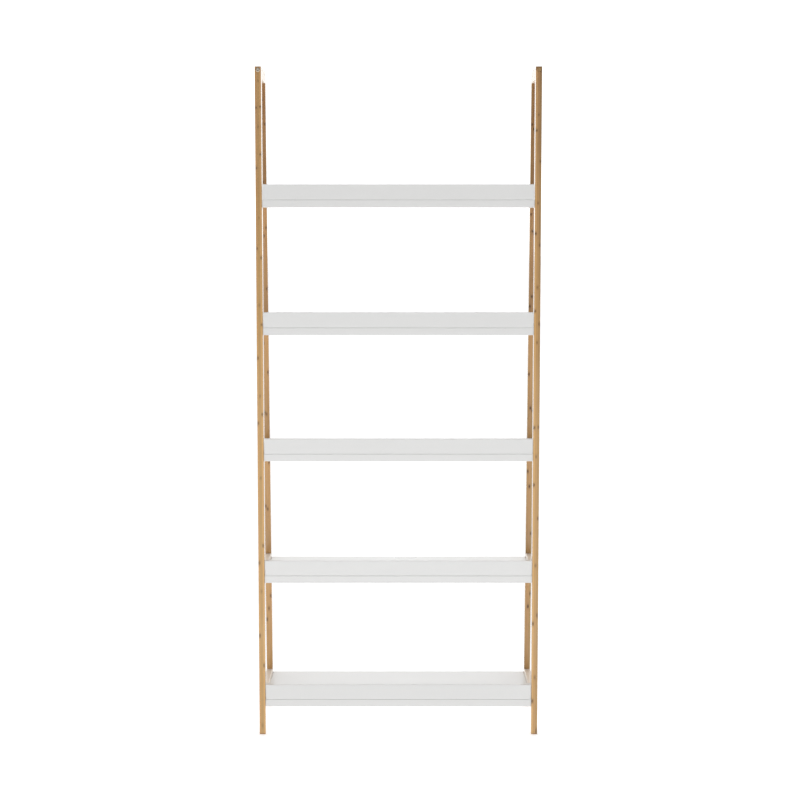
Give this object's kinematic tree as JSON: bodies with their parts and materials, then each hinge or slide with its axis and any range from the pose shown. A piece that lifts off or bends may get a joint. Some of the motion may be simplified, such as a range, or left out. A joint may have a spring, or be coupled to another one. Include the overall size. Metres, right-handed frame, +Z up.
{
  "type": "ladder shelf",
  "caption": "Free-standing ladder shelf: A-shaped side frames of bamboo rails and white bars carry white trays with a raised front lip.",
  "frame": {"origin": "on the floor, in the middle of the footprint", "axes": "+Z up, -Y towards the front, +X to the viewer's right as one faces the front"},
  "size_m": [0.7, 0.2748, 1.659],
  "materials": {
    "bamboo": "solid laminated bamboo strip, sanded, clear gloss lacquer",
    "white_lacquer": "fibreboard and solid wood sprayed with smooth satin white lacquer",
    "nickel_steel": "nickel-plated steel, bright and slightly satin",
    "nylon": "moulded natural nylon"
  },
  "bodies": {
    "root": {"front_rail_left": "bamboo", "rear_rail_left": "bamboo", "front_rail_right": "bamboo", "rear_rail_right": "bamboo", "side_bar_1_left": "white_lacquer", "side_bar_2_left": "white_lacquer", "side_bar_3_left": "white_lacquer", "side_bar_4_left": "white_lacquer", "side_bar_5_left": "white_lacquer", "top_bar_left": "white_lacquer", "side_bar_1_right": "white_lacquer", "side_bar_2_right": "white_lacquer", "side_bar_3_right": "white_lacquer", "side_bar_4_right": "white_lacquer", "side_bar_5_right": "white_lacquer", "top_bar_right": "white_lacquer", "screw_plug": "bamboo", "tray_board_1": "white_lacquer", "tray_lip_1": "white_lacquer", "tray_board_2": "white_lacquer", "tray_lip_2": "white_lacquer", "tray_board_3": "white_lacquer", "tray_lip_3": "white_lacquer", "tray_board_4": "white_lacquer", "tray_lip_4": "white_lacquer", "tray_board_5": "white_lacquer", "tray_lip_5": "white_lacquer", "tray_screw_1_left_front": "nickel_steel", "tray_screw_1_left_rear": "nickel_steel", "tray_screw_1_right_front": "nickel_steel", "tray_screw_1_right_rear": "nickel_steel", "tray_screw_2_left_front": "nickel_steel", "tray_screw_2_left_rear": "nickel_steel", "tray_screw_2_right_front": "nickel_steel", "tray_screw_2_right_rear": "nickel_steel", "tray_screw_3_left_front": "nickel_steel", "tray_screw_3_left_rear": "nickel_steel", "tray_screw_3_right_front": "nickel_steel", "tray_screw_3_right_rear": "nickel_steel", "tray_screw_4_left_front": "nickel_steel", "tray_screw_4_left_rear": "nickel_steel", "tray_screw_4_right_front": "nickel_steel", "tray_screw_4_right_rear": "nickel_steel", "tray_screw_5_left_front": "nickel_steel", "tray_screw_5_left_rear": "nickel_steel", "tray_screw_5_right_front": "nickel_steel", "tray_screw_5_right_rear": "nickel_steel", "head_screw_left_front": "nickel_steel", "head_screw_left_rear": "nickel_steel", "head_screw_right_front": "nickel_steel", "head_screw_right_rear": "nickel_steel", "foot_glide_front_left": "nylon", "foot_glide_rear_left": "nylon", "foot_glide_front_right": "nylon", "foot_glide_rear_right": "nylon"}
  },
  "joints": []
}
